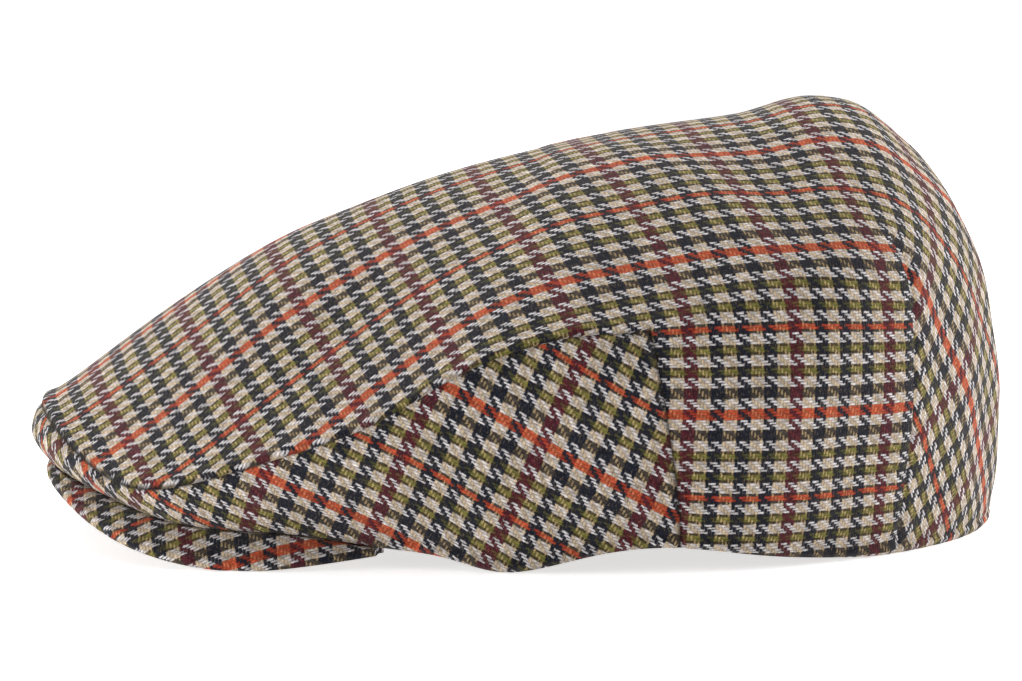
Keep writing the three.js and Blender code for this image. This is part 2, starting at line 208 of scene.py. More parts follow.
def wall_surface(k, t):
    """The wall: at section k a cubic Bezier curve from the rim (t = 0) to the edge (t = 1). Its first
    handle leans out by the foot's angle. Its last follows the head's angle where the edge is creased and
    the slope of the top elsewhere, so that the shoulder is smooth."""
    row = sections_at(k)
    rim, edge = row[..., RIM], row[..., EDGE]
    along = sections_at(k + 0.05)[..., EDGE_XY] - sections_at(k - 0.05)[..., EDGE_XY]
    out = unit(np.stack([along[..., 1], -along[..., 0], np.zeros_like(along[..., 0])], -1))
    up = np.array([0, 0, 1.0])

    def leaning(degrees):
        """Outwards by the cosine and up by the sine of the angle."""
        angle = np.radians(degrees)[..., None]
        return out * np.cos(angle) + up * np.sin(angle)

    one = np.ones_like(np.asarray(k, float))
    down_the_top = unit(top_surface(k, one) - top_surface(k, 0.98 * one))
    creased = crease(k)[..., None]
    head = unit(-creased * leaning(row[..., HEAD_LEAN]) + (1 - creased) * down_the_top)
    handle_a = rim + leaning(row[..., FOOT_LEAN]) * row[..., [FOOT_REACH]]
    handle_b = edge + head * row[..., [HEAD_REACH]]
    t = t[..., None]
    return ((1 - t) ** 3 * rim + 3 * (1 - t) ** 2 * t * handle_a
            + 3 * (1 - t) * t * t * handle_b + t ** 3 * edge)


def fold_rise(k, height):
    """How far the folds stand out: a sum of bell shapes over section and height."""
    rise = np.zeros_like(height)
    for section, level, wide, tall, amount in FOLDS:
        away = ((np.abs(k) - section) / wide) ** 2 + ((height - level) / tall) ** 2
        rise += amount * np.exp(-away)
    return rise


# ---------------------------------------------------------------------------------------------
# The whole skin as one grid of points, from which each cloth piece takes its faces
# ---------------------------------------------------------------------------------------------

def ring_index(a, b):
    """Point number of the square grid's corner (a, b): the grid's square rings are the top's rings, and
    ring n holds 8 n points that start at the centre back and run round by the right side."""
    n = np.maximum(np.abs(a), np.abs(b))
    first = 1 + 4 * n * (n - 1)
    i = np.select([b == n, a == -n, b == -n], [(8 * n - a) % np.maximum(8 * n, 1), 2 * n - b, 4 * n + a],
                  6 * n + b)
    return np.where(n == 0, 0, first + i)


def gathered_at_seams(k):
    """Sections drawn closer to the temple seam and the dart, where the cloth needs finer columns: each
    pulls its surroundings in by half, under a bell of three fifths of a section."""
    for seam_and_painted_shade in (TEMPLE_SEAM, DART):
        off = np.abs(k) - seam_and_painted_shade
        k = k - np.sign(k) * 0.5 * off * np.exp(-(off / 0.6) ** 2)
    return k


class Skin:
    """Points of the outer skin. rows[0] is the edge's ring, rows[-1] the rim, and the points before
    rows[1] are the top. Each point has its section k, height (0 rim, 1 edge, 2 middle of the top) and
    outward normal. Under a creased edge the normals turn evenly from the seam's mitre to the level rim,
    so that the cloth's inner side doesn't fold over."""

    def __init__(self, steps, levels):
        """steps: columns between two sections. levels: rows of the wall."""
        self.round = 2 * LAST * steps
        self.rings = self.round // 8
        self.steps, self.levels = steps, levels
        ring_of = np.repeat(np.arange(self.rings + 1), [1] + [8 * n for n in range(1, self.rings + 1)])
        place = np.arange(len(ring_of)) - np.where(ring_of > 0, 1 + 4 * ring_of * (ring_of - 1), 0)
        k_top = gathered_at_seams(-LAST + 2 * LAST * place / np.maximum(8 * ring_of, 1))
        # Rings lie closer together towards the edge, and rows towards the edge and the rim.
        share = ring_of / self.rings
        share = 0.55 * share + 0.45 * np.sin(share * math.pi / 2)
        top = top_surface(k_top, share)
        level, column = np.meshgrid(np.arange(1, levels + 1), np.arange(self.round), indexing="ij")
        fall = level / levels
        t = 1 - (0.35 * fall + 0.65 * smoothstep(0, 1, fall))
        k_wall = gathered_at_seams(-LAST + 2 * LAST * column / self.round)
        wall = wall_surface(k_wall, t)
        self.points = np.concatenate([top, wall.reshape(-1, 3)])
        self.k = np.concatenate([k_top, k_wall.ravel()])
        self.height = np.concatenate([2 - share, t.ravel()])
        start = len(top)
        self.rows = np.vstack([start - self.round + np.arange(self.round),
                               start + np.arange(levels * self.round).reshape(levels, self.round)])
        a, b = np.meshgrid(np.arange(-self.rings, self.rings), np.arange(-self.rings, self.rings),
                           indexing="ij")
        self.top_faces = np.stack([ring_index(a, b), ring_index(a + 1, b), ring_index(a + 1, b + 1),
                                   ring_index(a, b + 1)], -1).reshape(-1, 4)
        self.normals = point_normals(self.points, np.vstack([self.top_faces, grid_faces(self.rows, True)]))
        rim = self.rows[-1]
        self.normals[rim, 2] = 0
        self.normals = unit(self.normals)
        height = self.height[self.rows][..., None]
        turned = self.normals[self.rows[0]] * height + self.normals[rim] * (1 - height)
        creased = crease(self.k[self.rows])[..., None]
        self.normals[self.rows] = unit(self.normals[self.rows] * (1 - creased) + unit(turned) * creased)
        self.points += self.normals * fold_rise(self.k, self.height)[:, None]


def grid_faces(rows, closed=False):
    """Four-cornered faces between the rows of a grid of point numbers, closed round its columns or not."""
    if closed:
        rows = np.hstack([rows, rows[:, :1]])
    return np.stack([rows[:-1, :-1], rows[1:, :-1], rows[1:, 1:], rows[:-1, 1:]], -1).reshape(-1, 4)


def point_normals(points, faces):
    """Outward normal of each point: the sum of the cross products of its faces' diagonals."""
    across = np.cross(points[faces[:, 2]] - points[faces[:, 0]], points[faces[:, 3]] - points[faces[:, 1]])
    normals = np.zeros_like(points)
    for corner in range(4):
        for axis in range(3):
            normals[:, axis] += np.bincount(faces[:, corner], across[:, axis], len(points))
    return unit(normals)


def run_along(grid, axis):
    """Distance along a grid of points from its first row (axis 0) or column (axis 1)."""
    step = np.linalg.norm(np.diff(grid, axis=axis), axis=-1)
    total = np.cumsum(step, axis=axis)
    return np.concatenate([np.zeros_like(np.take(total, [0], axis=axis)), total], axis=axis)


# ---------------------------------------------------------------------------------------------
# Flattening: each cloth piece laid flat, so that its weave runs as cut cloth does
# ---------------------------------------------------------------------------------------------

def lay_flat(points, faces, guess, rounds, steps):
    """Flat places of a surface's points, as complex numbers, that keep its lengths as well as they can.
    Each triangle is turned by its best-fitting rotation, then all points are set so that their cotangent
    weighted edges match the turned triangles (conjugate gradients), and so on for some rounds."""
    tri = np.vstack([faces[:, [0, 1, 2]], faces[:, [0, 2, 3]]])
    tri = tri[(tri[:, 0] != tri[:, 1]) & (tri[:, 1] != tri[:, 2]) & (tri[:, 0] != tri[:, 2])]
    p = points[tri]
    side = p[:, 1] - p[:, 0]
    length = np.linalg.norm(side, axis=1)
    other = p[:, 2] - p[:, 0]
    along = (other * side).sum(1) / length
    rise = np.sqrt(np.maximum((other ** 2).sum(1) - along ** 2, 1e-12))
    flat = np.stack([np.zeros(len(tri)), length, along + 1j * rise], 1)
    edge = flat[:, [1, 2, 0]] - flat  # edge n runs from corner n to corner n + 1
    opposite = flat[:, [2, 0, 1]]
    back_a, back_b = flat - opposite, flat[:, [1, 2, 0]] - opposite
    cotangent = np.conj(back_a) * back_b
    weight = np.clip(cotangent.real / np.maximum(np.abs(cotangent.imag), 1e-9), 0.02, 20) / 2
    start, end = tri, tri[:, [1, 2, 0]]
    pair = np.minimum(start, end).astype(np.int64) * len(points) + np.maximum(start, end)
    unique, inverse = np.unique(pair.ravel(), return_inverse=True)
    joined = np.bincount(inverse.ravel(), weight.ravel())
    low, high = unique // len(points), unique % len(points)
    count = len(points)

    def gather(index, value):
        """Sums of the values by point."""
        return np.bincount(index, value.real, count) + 1j * np.bincount(index, value.imag, count)

    def pull(z):
        """Pull of the edges on each point: the sum of their weights times their spans."""
        stretch = joined * (z[low] - z[high])
        return gather(low, stretch) - gather(high, stretch)

    diagonal = np.maximum(np.bincount(low, joined, count) + np.bincount(high, joined, count), 1e-9)
    z = guess.copy()
    for _ in range(rounds):
        turn = (weight * (z[end] - z[start]) * np.conj(edge)).sum(1)
        turn = turn / np.maximum(np.abs(turn), 1e-12)
        wanted = weight * edge * turn[:, None]
        target = gather(end.ravel(), wanted.ravel()) - gather(start.ravel(), wanted.ravel())
        residual = target - pull(z)
        step = residual / diagonal
        product = np.vdot(residual, step).real
        for _ in range(steps):
            pulled = pull(step)
            amount = product / max(np.vdot(step, pulled).real, 1e-30)
            z = z + amount * step
            residual = residual - amount * pulled
            scaled = residual / diagonal
            fresh = np.vdot(residual, scaled).real
            step = scaled + fresh / max(product, 1e-30) * step
            product = fresh
    return z


def finer(coarse, rows, columns):
    """A grid of flat places read at finer rows and columns, by straight lines between its own."""
    r = np.clip(rows, 0, coarse.shape[0] - 1)
    c = np.clip(columns, 0, coarse.shape[1] - 1)
    i = np.minimum(r.astype(int), coarse.shape[0] - 2)
    j = np.minimum(c.astype(int), coarse.shape[1] - 2)
    w, h = r - i, c - j
    return ((1 - w) * (1 - h) * coarse[i, j] + w * (1 - h) * coarse[i + 1, j]
            + (1 - w) * h * coarse[i, j + 1] + w * h * coarse[i + 1, j + 1])


class CrownPattern:
    """The crown cut open from hem to shoulder along both darts and the centre back: the top's points, then
    those of four wall panels, which meet at the cuts only along the edge's ring."""

    def __init__(self, skin):
        """origin gives the skin's point for each of the pattern's own."""
        back_right = np.arange((LAST - DART) * skin.steps + 1)
        right = np.arange(back_right[-1], (LAST - TEMPLE_SEAM) * skin.steps + 1)
        left, back_left = skin.round - right[::-1], (skin.round - back_right[::-1]) % skin.round
        self.columns = (back_right, right, left, back_left)
        count = skin.rows[1, 0]
        self.origin = [np.arange(count)]
        self.panels = []
        for columns in self.columns:
            own = count + np.arange(skin.levels * len(columns)).reshape(skin.levels, -1)
            self.panels.append(np.vstack([skin.rows[0, columns], own]))
            self.origin.append(skin.rows[1:, columns].ravel())
            count += own.size
        self.origin = np.concatenate(self.origin)
        self.faces = np.vstack([skin.top_faces, *[grid_faces(panel) for panel in self.panels]])

    def first_guess(self, skin):
        """The top seen from above, and each wall unrolled straight out from the edge."""
        points = skin.points[self.origin]
        flat = points[:, 0] + 1j * points[:, 1]
        for panel, columns in zip(self.panels, self.columns):
            edge = skin.points[skin.rows[0, columns]]
            out = unit(np.cross(np.gradient(edge, axis=0), [0, 0, 1.0]))
            fall = run_along(skin.points[skin.rows[:, columns]], 0)
            flat[panel] = ((edge[:, 0] + 1j * edge[:, 1])[None]
                           + (out[:, 0] + 1j * out[:, 1])[None] * fall)
        return flat

    def guess_from(self, skin, coarse_skin, coarse, flat):
        """The flat places of a coarser skin, read at this one's points."""
        ratio = skin.steps / coarse_skin.steps
        drop = skin.levels / coarse_skin.levels
        own = np.arange(-skin.rings, skin.rings + 1)
        a, b = np.meshgrid(own, own, indexing="ij")
        small = np.arange(-coarse_skin.rings, coarse_skin.rings + 1)
        ca, cb = np.meshgrid(small, small, indexing="ij")
        square = flat[ring_index(ca, cb)]
        guess = np.zeros(len(self.origin), complex)
        guess[ring_index(a, b)] = finer(square, a / ratio + coarse_skin.rings,
                                        b / ratio + coarse_skin.rings)
        for panel, small_panel in zip(self.panels, coarse.panels):
            rows, columns = np.indices(panel.shape)
            guess[panel] = finer(flat[small_panel], rows / drop, columns / ratio)
        return guess


def lay_crown():
    """Flat places for the crown's pattern points, on its centre line, in millimetres, with the back of
    the head towards +imaginary and the wearer's left towards +real."""
    small_skin = Skin(COARSE_STEPS, COARSE_LEVELS)
    small = CrownPattern(small_skin)
    flat = lay_flat(small_skin.points[small.origin], small.faces, small.first_guess(small_skin),
                    rounds=60, steps=60)
    pattern = CrownPattern(skin)
    guess = pattern.guess_from(skin, small_skin, small, flat)
    flat = lay_flat(skin.points[pattern.origin], pattern.faces, guess, rounds=4, steps=60)
    front, back = flat[ring_index(0, -skin.rings)], flat[ring_index(0, skin.rings)]
    return pattern, (flat - flat[0]) * 1j * abs(back - front) / (back - front)


def numbered(grid):
    """Point numbers of a grid of points, row by row."""
    return np.arange(grid.shape[0] * grid.shape[1]).reshape(grid.shape[:2])


def lay_grid(grid, guess, rounds):
    """Flat places of a grid of points, from a guess of them."""
    flat = lay_flat(grid.reshape(-1, 3), grid_faces(numbered(grid)), guess.ravel(), rounds, steps=60)
    return flat.reshape(grid.shape[:2])


# ---------------------------------------------------------------------------------------------
# Cloth bodies
# ---------------------------------------------------------------------------------------------

# How the yarns lie on each piece laid flat, for crosswise and then for lengthwise yarns: the millimetres
# from one to the next, and the number of the yarn that lies at a certain place.
CROWN_CLOTH = {"pitch": (0.881, 0.672), "place": (34, 79), "number": (30, 134)}
SIDE_CLOTH = {"pitch": (0.942, 0.657), "place": (0, 0), "number": (43.4, -52.7)}
PEAK_CLOTH = {"pitch": (0.88, 0.727), "place": (11.6, 53.6), "number": (30, 38)}


def yarns_at(along, across, cloth):
    """Counts of yarns: the known yarn's number, plus the distance from its place divided by the pitch."""
    return np.stack([number + (distance - place) / pitch for distance, place, pitch, number
                     in zip((along, across), cloth["place"], cloth["pitch"], cloth["number"])], -1)


def crown_yarns(flat):
    """Flat places of the crown as counts of yarns: crosswise yarns along it and lengthwise yarns across.
    Down the sides the crosswise yarns bow back, more so behind the temples, and towards the front the
    lengthwise ones swing to the wearer's left, because the cloth was cut and eased a little askew."""
    along, across = flat.imag, flat.real
    side = smoothstep(0, 115, np.abs(across))
    straight = along
    for _ in range(4):
        straight = along - (5.5 + 8.5 * smoothstep(-60, 5, straight)) * side
    swung = across - 16 * (1 - smoothstep(-130, -25, along))
    return yarns_at(straight, swung, CROWN_CLOTH)


def side_yarns(flat):
    """Flat places of a side panel as counts of yarns. Its grain runs down towards the back, 40 degrees from
    its upper edge, and its crosswise yarns lean 6 degrees from square to that."""
    grain, square = np.radians(40.2), np.radians(33.9)
    return yarns_at(flat.imag * np.cos(square) + flat.real * np.sin(square),
                    flat.real * np.cos(grain) - flat.imag * np.sin(grain), SIDE_CLOTH)


def peak_yarns(flat):
    """Flat places of the peak as counts of yarns. Its lengthwise yarns are drawn a little outwards as they
    near the lip."""
    across, along = flat.real, flat.imag
    drawn = across + np.sign(across) * 0.2 * along * smoothstep(0, 40, np.abs(across))
    return yarns_at(along, drawn, PEAK_CLOTH)


STRIP_YARNS = 3.0  # yarns that a cloth's cut edge shows, from its outer to its inner side


def cloth_body(name, outer, inner, seam_and_painted_shade, faces, places, place_faces, material, node):
    """A closed body of cloth from its outer faces, their inner twins and a strip along their border.
    places holds yarn counts, which place_faces gives for each corner of each face."""
    used, index = np.unique(faces, return_inverse=True)
    index = index.reshape(faces.shape)
    count = len(used)
    points = np.vstack([outer[used], inner[used]]) + [0, SHIFT_Y, 0]
    start, end = index, np.roll(index, -1, 1)
    key, reverse = start * count + end, end * count + start
    border = ~np.isin(key, reverse)
    a, b = start[border], end[border]
    strip = np.stack([b, a, a + count, b + count], 1)
    near = places[place_faces]
    turned = np.roll(near, -1, 1)
    strip_places = np.stack([turned[border], near[border], near[border] + STRIP_YARNS,
                             turned[border] + STRIP_YARNS], 1)
    all_faces = np.vstack([index, index[:, ::-1] + count, strip])
    all_places = np.vstack([near, near[:, ::-1], strip_places])
    # Painted shade in the seams for the outer points; the inner points get none.
    painted_shade_per_point = np.concatenate([seam_and_painted_shade[used], np.zeros(count)])
    mesh_piece(name, points, painted_shade_per_point, all_faces, all_places, material, node)


def mesh_piece(name, points, seam_and_painted_shade, faces, places, material, node):
    """A mesh object with the yarn counts as its map, in the CAD node's stead."""
    mesh = bpy.data.meshes.new(name)
    mesh.vertices.add(len(points))
    mesh.vertices.foreach_set("co", (points * MM).astype(np.float32).ravel())
    mesh.loops.add(faces.size)
    mesh.loops.foreach_set("vertex_index", faces.astype(np.int32).ravel())
    mesh.polygons.add(len(faces))
    mesh.polygons.foreach_set("loop_start", np.arange(0, faces.size, 4, dtype=np.int32))
    mesh.polygons.foreach_set("use_smooth", np.ones(len(faces), bool))
    mesh.update(calc_edges=True)
    # This point attribute carries the painted shade along the seams, which the material reads.
    mesh.attributes.new("seam_and_painted_shade", "FLOAT", "POINT").data.foreach_set("value", seam_and_painted_shade.astype(np.float32))
    layer = mesh.uv_layers.new(name="cloth")
    layer.data.foreach_set("uv", places.astype(np.float32).ravel())
    mesh.validate()
    mesh.materials.append(material)
    piece = bpy.data.objects.new(name, mesh)
    bpy.context.scene.collection.objects.link(piece)
    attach(piece, "root")
    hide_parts(node)


def bell(distance, width):
    """A bell curve: e to the power of less the square of distance over width."""
    return np.exp(-(distance / width) ** 2)


def seam_dip(distance, depth=0.9, width=0.9):
    """Cloth turned under at a seam: a rounded fall over its last millimetre."""
    return -depth * bell(distance, width)


# ---------------------------------------------------------------------------------------------
# Materials
# ---------------------------------------------------------------------------------------------

def colour(red, green, blue, cling=0.25):
    """A colour from 0-255 as seen on a screen to linear light, and how much of it clings to the hairs of
    the beige yarns that cross it."""
    c = np.array([red, green, blue]) / 255
    linear = np.where(c <= 0.04045, c / 12.92, ((c + 0.055) / 1.055) ** 2.4)
    return (*linear.tolist(), cling)


BEIGE, WHITISH = colour(172, 148, 108), colour(192, 188, 190)
NAVY, OLIVE, BROWN_BLACK = colour(22, 26, 38, 0.4), colour(100, 99, 40, 0.4), colour(36, 30, 20, 0.4)
BURGUNDY, ORANGE = colour(76, 26, 36, 0.2), colour(170, 60, 34, 0.7)
STRAY_FIBRE = colour(122, 104, 76)

# Each dark band of four yarns by colour, from one repeat of the pattern to the next. Between them lie
# light bands of four: beige crosswise and whitish lengthwise.
CROSSWISE_DARKS = ((NAVY,) * 4, (NAVY,) * 4, (NAVY,) * 4, (BURGUNDY,) * 4)
OLIVE_BAND = (BROWN_BLACK, OLIVE, OLIVE, BROWN_BLACK)
LENGTHWISE_DARKS = ((ORANGE,) * 4, (NAVY,) * 4, OLIVE_BAND, OLIVE_BAND,
                    (NAVY, ORANGE, ORANGE, NAVY), OLIVE_BAND, OLIVE_BAND, (NAVY,) * 4)


class Wiring:
    """Short ways to add nodes to a tree and join them."""

    def __init__(self, tree):
        """tree: the node tree to work in."""
        self.tree = tree

    def node(self, kind, **settings):
        """A new node with these settings."""
        made = self.tree.nodes.new(kind)
        for key, value in settings.items():
            setattr(made, key, value)
        return made

    def join(self, source, socket):
        """Link a socket to an output, or set it to a number or colour."""
        if isinstance(source, (int, float, tuple)):
            socket.default_value = source
        else:
            self.tree.links.new(source, socket)

    def math(self, operation, a, b=None, c=None):
        """One step of arithmetic on up to three values."""
        made = self.node("ShaderNodeMath", operation=operation)
        for value, socket in zip((a, b, c), made.inputs):
            if value is not None:
                self.join(value, socket)
        return made.outputs[0]

    def clamp(self, value, most=1.0):
        """The value, but no less than 0 and no more than most."""
        return self.math("MINIMUM", self.math("MAXIMUM", value, 0.0), most)

    def mix(self, share, a, b):
        """Colour a, with a share of colour b."""
        made = self.node("ShaderNodeMix", data_type="RGBA")
        self.join(share, made.inputs[0])
        self.join(a, made.inputs[6])
        self.join(b, made.inputs[7])
        return made.outputs[2]

    def noise(self, vector, scale, detail=2.0, roughness=0.5):
        """Soft noise from 0 to 1, about 0.5."""
        made = self.node("ShaderNodeTexNoise")
        self.join(vector, made.inputs["Vector"])
        made.inputs["Scale"].default_value = scale
        made.inputs["Detail"].default_value = detail
        made.inputs["Roughness"].default_value = roughness
        return made.outputs["Fac"]

    def swing(self, vector, scale, reach, detail, roughness=0.5):
        """Noise about 0, as far as half the reach to either side."""
        off = self.math("SUBTRACT", self.noise(vector, scale, detail, roughness), 0.5)
        return self.math("MULTIPLY", off, reach)

    def combine(self, x, y, z=0.0):
        """A vector of three values."""
        made = self.node("ShaderNodeCombineXYZ")
        for value, socket in zip((x, y, z), made.inputs):
            self.join(value, socket)
        return made.outputs[0]

    def steps(self, place, colours):
        """A constant colour ramp over place from 0 to 1, in equal steps."""
        ramp = self.node("ShaderNodeValToRGB")
        ramp.color_ramp.interpolation = "CONSTANT"
        stops = ramp.color_ramp.elements
        runs = [(n, c) for n, c in enumerate(colours) if n == 0 or c != colours[n - 1]]
        while len(stops) > 1:
            stops.remove(stops[-1])
        for n, c in runs:
            stop = stops[0] if n == 0 else stops.new(n / len(colours))
            stop.position = n / len(colours)
            stop.color = c
        self.join(place, ramp.inputs[0])
        return ramp.outputs["Color"], ramp.outputs["Alpha"]


def yarn_colours(wiring, number, light, darks):
    """Colour of a yarn and its cling by its number: four light, then four of the next dark band."""
    repeat = 8.0 * len(darks)
    within = wiring.math("ADD", wiring.math("FLOORED_MODULO", number, repeat), 0.5)
    place = wiring.math("DIVIDE", within, repeat)
    sequence = [c for band in darks for c in (light,) * 4 + band]
    return wiring.steps(place, sequence)


# How the weave is drawn, in yarns where it is a distance.
WANDER, WANDER_SCALE = 1.5, 0.045  # yarns wander from straight lines
HAIR, HAIR_SCALE = 1.5, 1.5  # their edges are hairy
YARN_REACH, YARN_EDGE = 0.6, 5.0  # half of what a yarn covers, and how sharply it ends
THINNER_CROSSWISE, THINNER_LENGTHWISE = -0.25, -0.13  # a light yarn over dark ones
CROSSWISE_IN_LIGHT, CROSSWISE_ANYWHERE = 0.15, 0.08  # how much of it shows through a lengthwise yarn
STRAY_FROM, STRAY_MOST = 0.56, 0.45  # noise above which stray fibres show, and how much at most


def twill_group():
    """The houndstooth weave. Given a point in yarn counts (crosswise yarns along x, lengthwise ones along
    y), the crosswise yarn i lies over the lengthwise yarn j where i - j leaves 3 or 0 on division by 4, so
    each floats over two. Outputs the cloth's colour, with shade and light from the yarns' height painted
    into it, and the height of its yarns."""
    tree = bpy.data.node_groups.new("houndstooth_twill", "ShaderNodeTree")
    tree.interface.new_socket("Yarns", in_out="INPUT", socket_type="NodeSocketVector")
    tree.interface.new_socket("Colour", in_out="OUTPUT", socket_type="NodeSocketColor")
    tree.interface.new_socket("Height", in_out="OUTPUT", socket_type="NodeSocketFloat")
    w = Wiring(tree)
    given, result = w.node("NodeGroupInput"), w.node("NodeGroupOutput")
    yarns_in = given.outputs[0]

    # Yarns wander a little, and their edges are hairy.
    split = w.node("ShaderNodeSeparateXYZ")
    w.join(yarns_in, split.inputs[0])
    wander_x = w.swing(yarns_in, WANDER_SCALE, WANDER, 2.0)
    shifted = w.node("ShaderNodeVectorMath", operation="ADD")
    w.join(yarns_in, shifted.inputs[0])
    shifted.inputs[1].default_value = (71.0, 23.0, 5.0)
    wander_y = w.swing(shifted.outputs[0], WANDER_SCALE, WANDER, 2.0)
    hair_x = w.swing(yarns_in, HAIR_SCALE, HAIR, 3.0, 0.75)
    hair_y = w.swing(shifted.outputs[0], HAIR_SCALE, HAIR, 3.0, 0.75)
    x = w.math("ADD", w.math("ADD", split.outputs[0], wander_x), hair_x)
    y = w.math("ADD", w.math("ADD", split.outputs[1], wander_y), hair_y)

    i, j = w.math("FLOOR", x), w.math("FLOOR", y)
    phase = w.math("FLOORED_MODULO", w.math("ADD", w.math("SUBTRACT", i, j), 1.0), 4.0)
    crosswise_over = w.math("LESS_THAN", phase, 1.5)
    crosswise, _ = yarn_colours(w, i, BEIGE, CROSSWISE_DARKS)
    lengthwise, cling = yarn_colours(w, j, WHITISH, LENGTHWISE_DARKS)

    def shows(number, whole, light, other_light, thinner):
        """1 on a yarn and 0 beside it. A light yarn is thinner where it lies over dark ones, so that they
        show on both sides of it."""
        off_middle = w.math("ABSOLUTE", w.math("SUBTRACT", w.math("SUBTRACT", number, whole), 0.5))
        over_dark = w.math("MULTIPLY", light, w.math("SUBTRACT", 1.0, other_light))
        reach = w.math("MULTIPLY_ADD", over_dark, thinner, YARN_REACH)
        return w.clamp(w.math("MULTIPLY", w.math("SUBTRACT", reach, off_middle), YARN_EDGE))

    beige = w.math("LESS_THAN", w.math("FLOORED_MODULO", i, 8.0), 3.5)
    whitish = w.math("LESS_THAN", w.math("FLOORED_MODULO", j, 8.0), 3.5)
    crosswise_shows = shows(x, i, beige, whitish, THINNER_CROSSWISE)
    lengthwise_over = w.math("SUBTRACT", 1.0, crosswise_over)
    lengthwise_shows = w.math(
        "ADD", w.math("MULTIPLY", crosswise_over, w.math("SUBTRACT", 1.0, crosswise_shows)),
        w.math("MULTIPLY", lengthwise_over, shows(y, j, whitish, beige, THINNER_LENGTHWISE)))
    crosswise_seen = w.mix(w.math("MULTIPLY", beige, cling), crosswise, lengthwise)
    both_light = w.math("MULTIPLY", beige, whitish)
    both_dark = w.math("MULTIPLY", w.math("SUBTRACT", 1.0, beige), w.math("SUBTRACT", 1.0, whitish))
    # Over a dark yarn, a colour that clings less is seen less.
    dimmed = w.math("MULTIPLY", both_dark, w.math("SUBTRACT", 1.0, cling))
    share = w.math("MULTIPLY_ADD", both_light, CROSSWISE_IN_LIGHT,
                   w.math("ADD", dimmed, CROSSWISE_ANYWHERE))
    lengthwise_seen = w.mix(share, lengthwise, crosswise)
    chosen = w.mix(lengthwise_shows, crosswise_seen, lengthwise_seen)

    def rounded(number, whole):
        """Height across a yarn: the cosine of half a turn over its width."""
        off = w.math("SUBTRACT", w.math("SUBTRACT", number, whole), 0.5)
        return w.math("COSINE", w.math("MULTIPLY", off, math.pi))

    def arched(number, other_whole, lag):
        """Height along a yarn: the sine of half a turn over each float of two."""
        along = w.math("FLOORED_MODULO", w.math("SUBTRACT", w.math("ADD", number, lag), other_whole), 4.0)
        return w.math("SINE", w.math("MULTIPLY", along, math.pi / 2))

    crosswise_height = w.math("MULTIPLY", rounded(x, i),
                              w.math("MULTIPLY_ADD", arched(y, i, 0.0), 0.6, 0.4))
    lengthwise_height = w.math("MULTIPLY", rounded(y, j),
                               w.math("MULTIPLY_ADD", arched(x, j, -1.0), 0.6, 0.4))
    over = w.math("MULTIPLY", crosswise_height, crosswise_over)
    under = w.math("MULTIPLY", lengthwise_height, lengthwise_over)
    height = w.math("ADD", over, under)

    def streaks(along_x, along_y, detail):
        """Noise drawn out along one way of the yarns, as fibres lie."""
        stretched = w.node("ShaderNodeVectorMath", operation="MULTIPLY")
        w.join(yarns_in, stretched.inputs[0])
        stretched.inputs[1].default_value = (along_x, along_y, 1.0)
        return w.noise(stretched.outputs[0], 1.0, detail, 0.65)

    # Fibres run along the yarns, light and dark, and pale stray ones lie over them. Between the yarns the
    # colour is darkened as painted shade.
    across_fibres, along_fibres = streaks(4.2, 0.8, 2.0), streaks(0.8, 4.2, 2.0)
    fibres = w.node("ShaderNodeMix", data_type="FLOAT")
    w.join(lengthwise_shows, fibres.inputs[0])
    w.join(across_fibres, fibres.inputs[2])
    w.join(along_fibres, fibres.inputs[3])
    crossing = w.node("ShaderNodeTexWhiteNoise", noise_dimensions="2D")
    w.join(w.combine(i, j), crossing.inputs["Vector"])
    uneven = w.math("MULTIPLY_ADD", w.noise(shifted.outputs[0], 0.45, 3.0), 0.9, -0.45)
    uneven = w.math("ADD", uneven, w.math("MULTIPLY_ADD", crossing.outputs["Value"], 0.4, -0.2))
    fleck = w.math("ADD", w.math("MULTIPLY_ADD", fibres.outputs[0], 1.7, 0.1), uneven)
    # Painted shade and light from the yarns' height: the colour is scaled from 0.55 between them to 1.25 on
    # their crowns.
    painted_yarn_shading = w.math("MULTIPLY_ADD", height, 0.7, 0.55)
    stray = w.math("MULTIPLY", w.math("SUBTRACT", streaks(2.6, 0.45, 3.0), STRAY_FROM), 5.0)
    haired = w.mix(w.clamp(stray, STRAY_MOST), chosen, STRAY_FIBRE)
    shaded = w.node("ShaderNodeVectorMath", operation="SCALE")
    w.join(haired, shaded.inputs[0])
    w.join(w.math("MULTIPLY", fleck, painted_yarn_shading), shaded.inputs["Scale"])
    w.join(shaded.outputs[0], result.inputs[0])
    w.join(height, result.inputs[1])
    return tree


